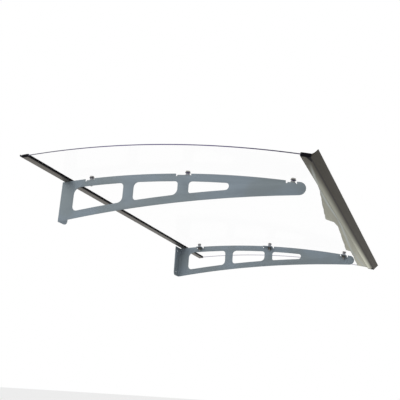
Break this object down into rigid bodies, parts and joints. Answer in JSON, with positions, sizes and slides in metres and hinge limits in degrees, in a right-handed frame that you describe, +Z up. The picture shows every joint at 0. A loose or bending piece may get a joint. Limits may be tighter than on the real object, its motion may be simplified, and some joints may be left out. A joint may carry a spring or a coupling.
{
  "type": "polycarbonate door canopy",
  "caption": "Wall-mounted door canopy: a curved clear polycarbonate sheet between a wall rail and a gutter rail, carried on folded metal brackets with windows.",
  "frame": {"origin": "on the wall at mid-width, at the middle of the wiper seal's flat contact face", "axes": "+X along the wall, -Y out from the wall towards the gutter, +Z up"},
  "size_m": [1.5, 0.9, 0.1551],
  "materials": {
    "clear_polycarbonate": "clear, glossy, faintly violet at the edges",
    "coated_plate": "satin",
    "satin_aluminium": "satin",
    "black_rubber": "matt",
    "pale_rubber": "matt, slightly translucent",
    "black_plastic": "matt",
    "fastener_steel": "satin"
  },
  "bodies": {
    "root": {"clear_sheet": "clear_polycarbonate", "rear_rail": "satin_aluminium", "rear_wall_seal": "black_rubber", "rear_glazing_gasket": "black_rubber", "front_gutter_rail": "satin_aluminium", "front_glazing_gasket": "black_rubber", "rear_end_cap_left": "black_plastic", "gutter_end_cap_left": "black_plastic", "bracket_left": "coated_plate", "rear_end_cap_right": "black_plastic", "gutter_end_cap_right": "black_plastic", "bracket_right": "coated_plate", "sheet_screw_left_1": "fastener_steel", "sheet_screw_left_2": "fastener_steel", "sheet_screw_left_3": "fastener_steel", "sheet_screw_right_1": "fastener_steel", "sheet_screw_right_2": "fastener_steel", "sheet_screw_right_3": "fastener_steel", "sealing_washer_left_1": "fastener_steel", "sealing_washer_left_2": "fastener_steel", "sealing_washer_left_3": "fastener_steel", "sealing_washer_right_1": "fastener_steel", "sealing_washer_right_2": "fastener_steel", "sealing_washer_right_3": "fastener_steel", "rubber_spacer_left_1": "pale_rubber", "rubber_spacer_left_2": "pale_rubber", "rubber_spacer_left_3": "pale_rubber", "rubber_spacer_right_1": "pale_rubber", "rubber_spacer_right_2": "pale_rubber", "rubber_spacer_right_3": "pale_rubber", "tab_washer_left_1": "fastener_steel", "tab_washer_left_2": "fastener_steel", "tab_washer_left_3": "fastener_steel", "tab_washer_right_1": "fastener_steel", "tab_washer_right_2": "fastener_steel", "tab_washer_right_3": "fastener_steel", "lock_nut_left_1": "fastener_steel", "lock_nut_left_2": "fastener_steel", "lock_nut_left_3": "fastener_steel", "lock_nut_right_1": "fastener_steel", "lock_nut_right_2": "fastener_steel", "lock_nut_right_3": "fastener_steel"}
  },
  "joints": []
}
